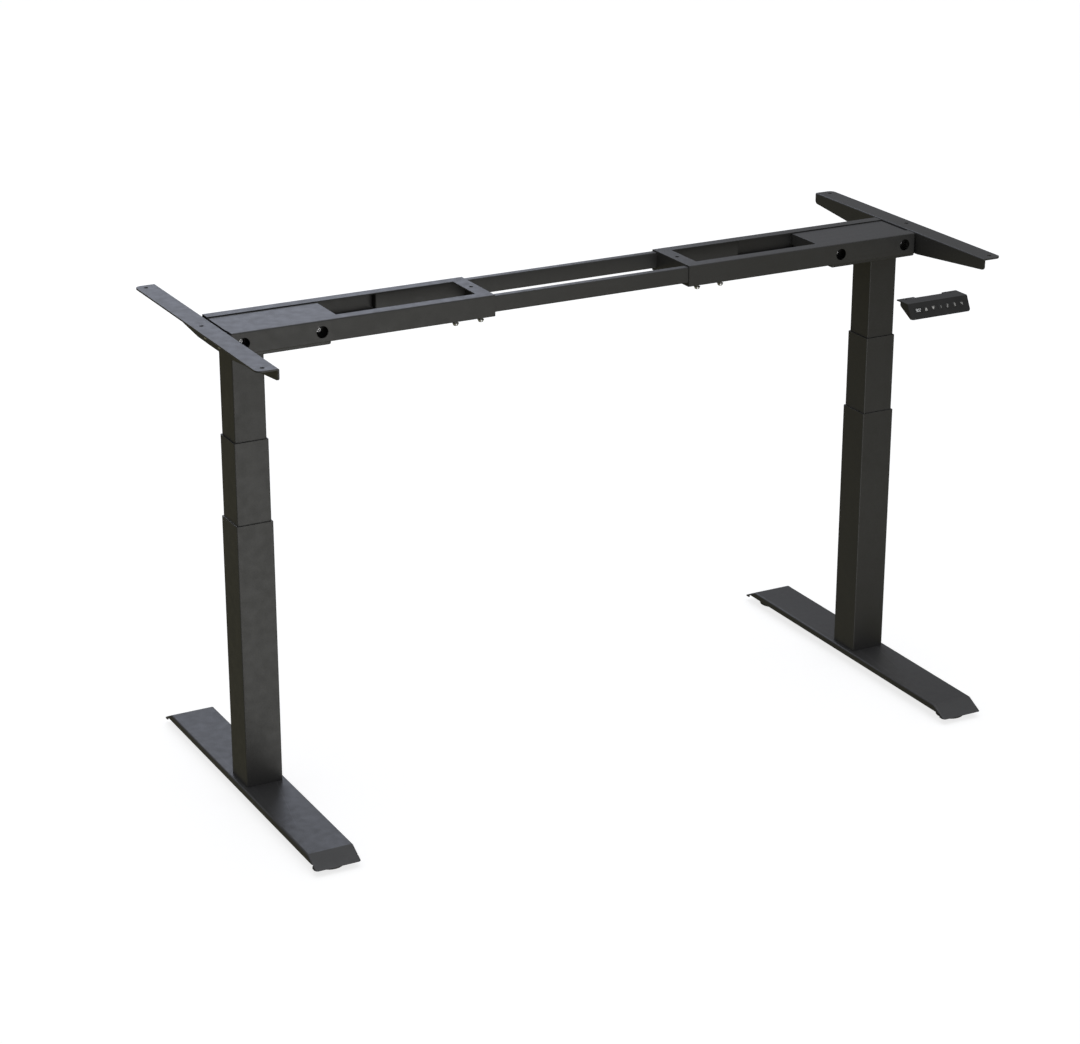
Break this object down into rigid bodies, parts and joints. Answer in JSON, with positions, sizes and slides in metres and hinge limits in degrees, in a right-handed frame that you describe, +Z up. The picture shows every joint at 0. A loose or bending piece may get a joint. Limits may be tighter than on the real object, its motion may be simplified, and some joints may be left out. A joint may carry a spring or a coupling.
{
  "type": "height adjustable standing desk frame",
  "caption": "Electric sit-stand desk frame with telescopic square legs, a beam of adjustable width, side brackets, levelling feet and a push-button handset.",
  "frame": {"origin": "on the floor, under the middle of the bounding box", "axes": "+Z up, +X along the beam to the right as the user sees it, -Y towards the user"},
  "size_m": [1.499, 0.834, 0.9015],
  "materials": {
    "powder_coat": "fine textured charcoal powder coat",
    "bright_zinc": "bright zinc plate",
    "spindle_steel": "rolled, greased",
    "white_polymer": "natural acetal",
    "cast_alloy": "die cast",
    "motor_can": "drawn steel",
    "black_plastic": "spark-eroded texture",
    "key_plastic": "satin",
    "display_gloss": "gloss",
    "circuit_board": "solder mask"
  },
  "bodies": {
    "left_base": {"left_foot": "powder_coat", "left_foot_bolts": "bright_zinc", "left_outer_column": "powder_coat", "left_spindle_tube": "spindle_steel", "left_lower_nut": "white_polymer"},
    "left_glide_front_foot": {"left_glide_front": "black_plastic"},
    "left_glide_back_foot": {"left_glide_back": "black_plastic"},
    "left_middle": {"left_middle_column": "powder_coat", "left_middle_sliders": "white_polymer"},
    "left_lower_spindle": {"left_hollow_screw": "spindle_steel", "left_upper_nut": "white_polymer"},
    "left_top": {"left_inner_column": "powder_coat", "left_inner_sliders": "white_polymer", "left_gearbox": "cast_alloy", "left_motor": "motor_can", "left_motor_housing": "powder_coat", "left_cover": "powder_coat", "left_frame_bolts": "bright_zinc", "left_side_bracket": "powder_coat", "left_front_channel": "powder_coat", "left_back_channel": "powder_coat", "left_cross_member": "powder_coat", "left_lock_screws": "bright_zinc"},
    "left_upper_spindle": {"left_lead_screw": "spindle_steel"},
    "right_base": {"right_foot": "powder_coat", "right_foot_bolts": "bright_zinc", "right_outer_column": "powder_coat", "right_spindle_tube": "spindle_steel", "right_lower_nut": "white_polymer"},
    "right_glide_front_foot": {"right_glide_front": "black_plastic"},
    "right_glide_back_foot": {"right_glide_back": "black_plastic"},
    "right_middle": {"right_middle_column": "powder_coat", "right_middle_sliders": "white_polymer"},
    "right_lower_spindle": {"right_hollow_screw": "spindle_steel", "right_upper_nut": "white_polymer"},
    "right_top": {"right_inner_column": "powder_coat", "right_inner_sliders": "white_polymer", "right_gearbox": "cast_alloy", "right_motor": "motor_can", "right_motor_housing": "powder_coat", "right_cover": "powder_coat", "right_frame_bolts": "bright_zinc", "right_side_bracket": "powder_coat", "right_front_channel": "powder_coat", "right_back_channel": "powder_coat", "right_cross_member": "powder_coat", "right_lock_screws": "bright_zinc", "handset_shell": "black_plastic", "handset_back_cover": "black_plastic", "handset_board": "circuit_board", "display_lens": "display_gloss"},
    "right_upper_spindle": {"right_lead_screw": "spindle_steel"},
    "rails": {"front_rail": "powder_coat", "back_rail": "powder_coat"},
    "key_1_cap": {"key_1": "key_plastic"},
    "key_2_cap": {"key_2": "key_plastic"},
    "key_3_cap": {"key_3": "key_plastic"},
    "key_4_cap": {"key_4": "key_plastic"},
    "key_5_cap": {"key_5": "key_plastic"},
    "key_6_cap": {"key_6": "key_plastic"}
  },
  "joints": [
    {"name": "lift", "type": "slide", "parent": "left_base", "child": "left_middle", "axis": [0, 0, 1], "range_m": [-0.148, 0.177]},
    {"name": "left_upper_lift", "type": "slide", "parent": "left_middle", "child": "left_top", "axis": [0, 0, 1], "range_m": [-0.148, 0.177]},
    {"name": "width_left", "type": "slide", "parent": "left_top", "child": "rails", "axis": [1, 0, 0], "range_m": [-0.14, 0.09]},
    {"name": "width_right", "type": "slide", "parent": "rails", "child": "right_top", "axis": [1, 0, 0], "range_m": [-0.14, 0.09]},
    {"name": "right_upper_lift", "type": "slide", "parent": "right_top", "child": "right_middle", "axis": [0, 0, -1], "range_m": [-0.148, 0.177]},
    {"name": "right_lower_lift", "type": "slide", "parent": "right_middle", "child": "right_base", "axis": [0, 0, -1], "range_m": [-0.148, 0.177]},
    {"name": "left_lower_spindle_turn", "type": "hinge", "parent": "left_middle", "child": "left_lower_spindle", "pos_m": [-0.662, 0.056, 0.5], "axis": [0, 0, 1], "continuous": true},
    {"name": "left_upper_spindle_turn", "type": "hinge", "parent": "left_top", "child": "left_upper_spindle", "pos_m": [-0.662, 0.056, 0.5], "axis": [0, 0, 1], "continuous": true},
    {"name": "left_front_level", "type": "slide", "parent": "left_base", "child": "left_glide_front_foot", "axis": [0, 0, -1], "range_m": [-0.001, 0.005]},
    {"name": "left_back_level", "type": "slide", "parent": "left_base", "child": "left_glide_back_foot", "axis": [0, 0, -1], "range_m": [-0.001, 0.005]},
    {"name": "right_lower_spindle_turn", "type": "hinge", "parent": "right_middle", "child": "right_lower_spindle", "pos_m": [0.662, 0.056, 0.5], "axis": [0, 0, 1], "continuous": true},
    {"name": "right_upper_spindle_turn", "type": "hinge", "parent": "right_top", "child": "right_upper_spindle", "pos_m": [0.662, 0.056, 0.5], "axis": [0, 0, 1], "continuous": true},
    {"name": "right_front_level", "type": "slide", "parent": "right_base", "child": "right_glide_front_foot", "axis": [0, 0, -1], "range_m": [-0.001, 0.005]},
    {"name": "right_back_level", "type": "slide", "parent": "right_base", "child": "right_glide_back_foot", "axis": [0, 0, -1], "range_m": [-0.001, 0.005]},
    {"name": "key_1_press", "type": "slide", "parent": "right_top", "child": "key_1_cap", "axis": [0, 0.8978, -0.4404], "range_m": [0, 0.0006], "stiffness_N_per_m": 900, "springref_m": -0.0004},
    {"name": "key_2_press", "type": "slide", "parent": "right_top", "child": "key_2_cap", "axis": [0, 0.8978, -0.4404], "range_m": [0, 0.0006], "stiffness_N_per_m": 900, "springref_m": -0.0004},
    {"name": "key_3_press", "type": "slide", "parent": "right_top", "child": "key_3_cap", "axis": [0, 0.8978, -0.4404], "range_m": [0, 0.0006], "stiffness_N_per_m": 900, "springref_m": -0.0004},
    {"name": "key_4_press", "type": "slide", "parent": "right_top", "child": "key_4_cap", "axis": [0, 0.8978, -0.4404], "range_m": [0, 0.0006], "stiffness_N_per_m": 900, "springref_m": -0.0004},
    {"name": "key_5_press", "type": "slide", "parent": "right_top", "child": "key_5_cap", "axis": [0, 0.8978, -0.4404], "range_m": [0, 0.0006], "stiffness_N_per_m": 900, "springref_m": -0.0004},
    {"name": "key_6_press", "type": "slide", "parent": "right_top", "child": "key_6_cap", "axis": [0, 0.8978, -0.4404], "range_m": [0, 0.0006], "stiffness_N_per_m": 900, "springref_m": -0.0004}
  ],
  "couplings": [
    {"joint": "left_upper_lift", "follows": "lift", "ratio": 1},
    {"joint": "right_upper_lift", "follows": "lift", "ratio": 1},
    {"joint": "right_lower_lift", "follows": "lift", "ratio": 1},
    {"joint": "left_lower_spindle_turn", "follows": "lift", "rad_per_m": 628.32},
    {"joint": "left_upper_spindle_turn", "follows": "lift", "rad_per_m": 1256.6},
    {"joint": "right_lower_spindle_turn", "follows": "lift", "rad_per_m": 628.32},
    {"joint": "right_upper_spindle_turn", "follows": "lift", "rad_per_m": 1256.6}
  ]
}
